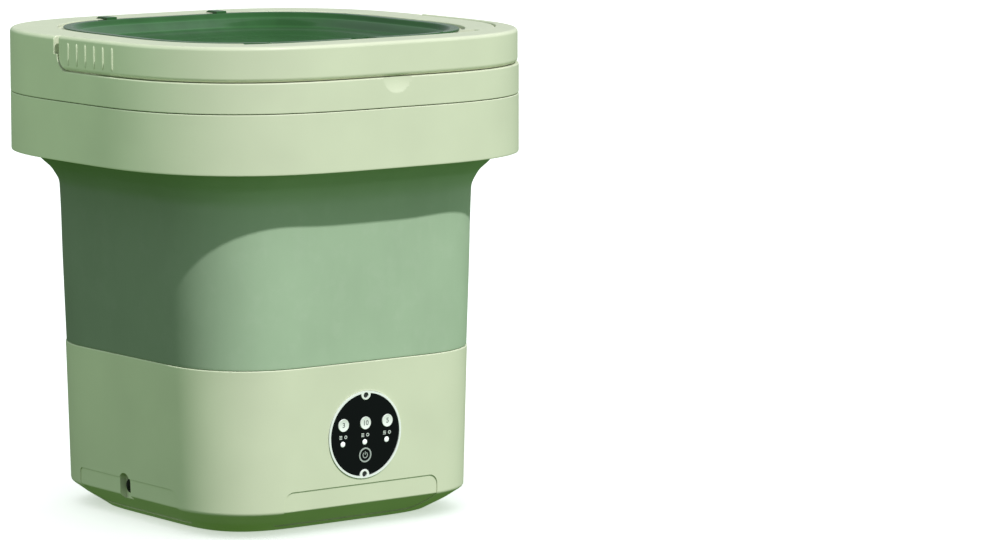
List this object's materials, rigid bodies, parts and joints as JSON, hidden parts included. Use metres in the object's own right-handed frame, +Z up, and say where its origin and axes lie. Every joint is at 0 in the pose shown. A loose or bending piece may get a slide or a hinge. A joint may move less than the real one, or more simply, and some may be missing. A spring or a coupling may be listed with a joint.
{
  "type": "folding mini washing machine",
  "caption": "Portable folding washer: chamfered base with tub, pulsator drive and round key panel, soft bellows, deep bowed collar, bail handle and dished hinged lid.",
  "frame": {"origin": "centre of the footprint, on the floor under the feet", "axes": "+Z up; the control panel faces -Y; +X is to the right when looking at the panel"},
  "size_m": [0.3398, 0.3406, 0.3669],
  "materials": {
    "pale_green_shell": "satin",
    "sage_elastomer": "matte",
    "green_translucent_lid": "glossy",
    "black_gloss_panel": "glossy",
    "white_key": "satin",
    "light_diffuser": "satin",
    "white_technical_plastic": "matte",
    "light_grey_tub": "satin",
    "black_rubber": "matte",
    "bare_steel": "brushed",
    "dark_plastic": "matte",
    "green_board": "satin"
  },
  "bodies": {
    "base": {"base_shell": "pale_green_shell", "bottom_cover": "pale_green_shell", "panel_bezel": "pale_green_shell", "bellows": "sage_elastomer", "panel_lens": "black_gloss_panel", "indicator_light_1": "light_diffuser", "indicator_light_2": "light_diffuser", "indicator_light_3": "light_diffuser", "wash_tub": "light_grey_tub", "drain_strainer": "light_grey_tub", "drive_belt": "black_rubber", "shaft_seal": "black_rubber", "drain_hose": "black_rubber", "foot_1": "black_rubber", "foot_2": "black_rubber", "foot_3": "black_rubber", "foot_4": "black_rubber", "cover_screw_1": "bare_steel", "cover_screw_2": "bare_steel", "cover_screw_3": "bare_steel", "cover_screw_4": "bare_steel", "tub_screw_1": "bare_steel", "tub_screw_2": "bare_steel", "tub_screw_3": "bare_steel", "tub_screw_4": "bare_steel", "motor_screw_1": "bare_steel", "motor_screw_2": "bare_steel", "bearing_lower": "bare_steel", "bearing_upper": "bare_steel", "motor_bracket": "bare_steel", "motor_body": "dark_plastic", "power_inlet": "dark_plastic", "wiring_loom": "dark_plastic", "panel_screw_1": "dark_plastic", "panel_screw_2": "dark_plastic", "control_board": "green_board"},
    "collar": {"top_ring": "pale_green_shell", "skirt_ring": "pale_green_shell", "bellows_clamp_ring": "white_technical_plastic", "rim_screw_1": "bare_steel", "rim_screw_2": "bare_steel", "rim_screw_3": "bare_steel", "rim_screw_4": "bare_steel", "handle_pin_left": "bare_steel", "handle_pin_right": "bare_steel", "lid_pin_left": "bare_steel", "lid_pin_right": "bare_steel"},
    "handle": {"carry_handle": "pale_green_shell"},
    "lid": {"lid": "green_translucent_lid"},
    "pulsator_drive": {"pulsator": "white_technical_plastic", "pulsator_screw": "bare_steel", "drive_shaft": "bare_steel", "driven_pulley": "white_technical_plastic"},
    "motor_rotor": {"motor_rotor": "bare_steel", "motor_pulley": "bare_steel"},
    "key_1": {"mode_key_1": "white_key"},
    "key_2": {"mode_key_2": "white_key"},
    "key_3": {"mode_key_3": "white_key"},
    "key_power": {"power_key": "black_gloss_panel"},
    "drain_plug": {"drain_plug": "black_rubber"}
  },
  "joints": [
    {"name": "collapse", "type": "slide", "parent": "base", "child": "collar", "axis": [0, 0, 1], "range_m": [-0.213, 0], "deforming": ["bellows"]},
    {"name": "handle_swing", "type": "hinge", "parent": "collar", "child": "handle", "pos_m": [0, 0.0165, 0.359], "axis": [-1, 0, 0], "range_deg": [0, 100]},
    {"name": "lid_swing", "type": "hinge", "parent": "collar", "child": "lid", "pos_m": [0, 0.1446, 0.3636], "axis": [-1, 0, 0], "range_deg": [0, 100]},
    {"name": "pulsator_spin", "type": "hinge", "parent": "base", "child": "pulsator_drive", "pos_m": [0, 0, 0.02], "axis": [0, 0, 1], "continuous": true},
    {"name": "motor_spin", "type": "hinge", "parent": "base", "child": "motor_rotor", "pos_m": [0.062, 0.015, 0.02], "axis": [0, 0, 1], "continuous": true},
    {"name": "press_key_1", "type": "slide", "parent": "base", "child": "key_1", "axis": [0, 0.9993, 0.0372], "range_m": [0, 0.0008], "stiffness_N_per_m": 900},
    {"name": "press_key_2", "type": "slide", "parent": "base", "child": "key_2", "axis": [0, 0.9993, 0.0372], "range_m": [0, 0.0008], "stiffness_N_per_m": 900},
    {"name": "press_key_3", "type": "slide", "parent": "base", "child": "key_3", "axis": [0, 0.9993, 0.0372], "range_m": [0, 0.0008], "stiffness_N_per_m": 900},
    {"name": "press_power", "type": "slide", "parent": "base", "child": "key_power", "axis": [0, 0.9993, 0.0372], "range_m": [0, 0.0008], "stiffness_N_per_m": 900},
    {"name": "drain_pull", "type": "slide", "parent": "base", "child": "drain_plug", "axis": [-1, 0, 0], "range_m": [0, 0.025]}
  ],
  "couplings": [
    {"joint": "motor_spin", "follows": "pulsator_spin", "ratio": 3.0707}
  ]
}
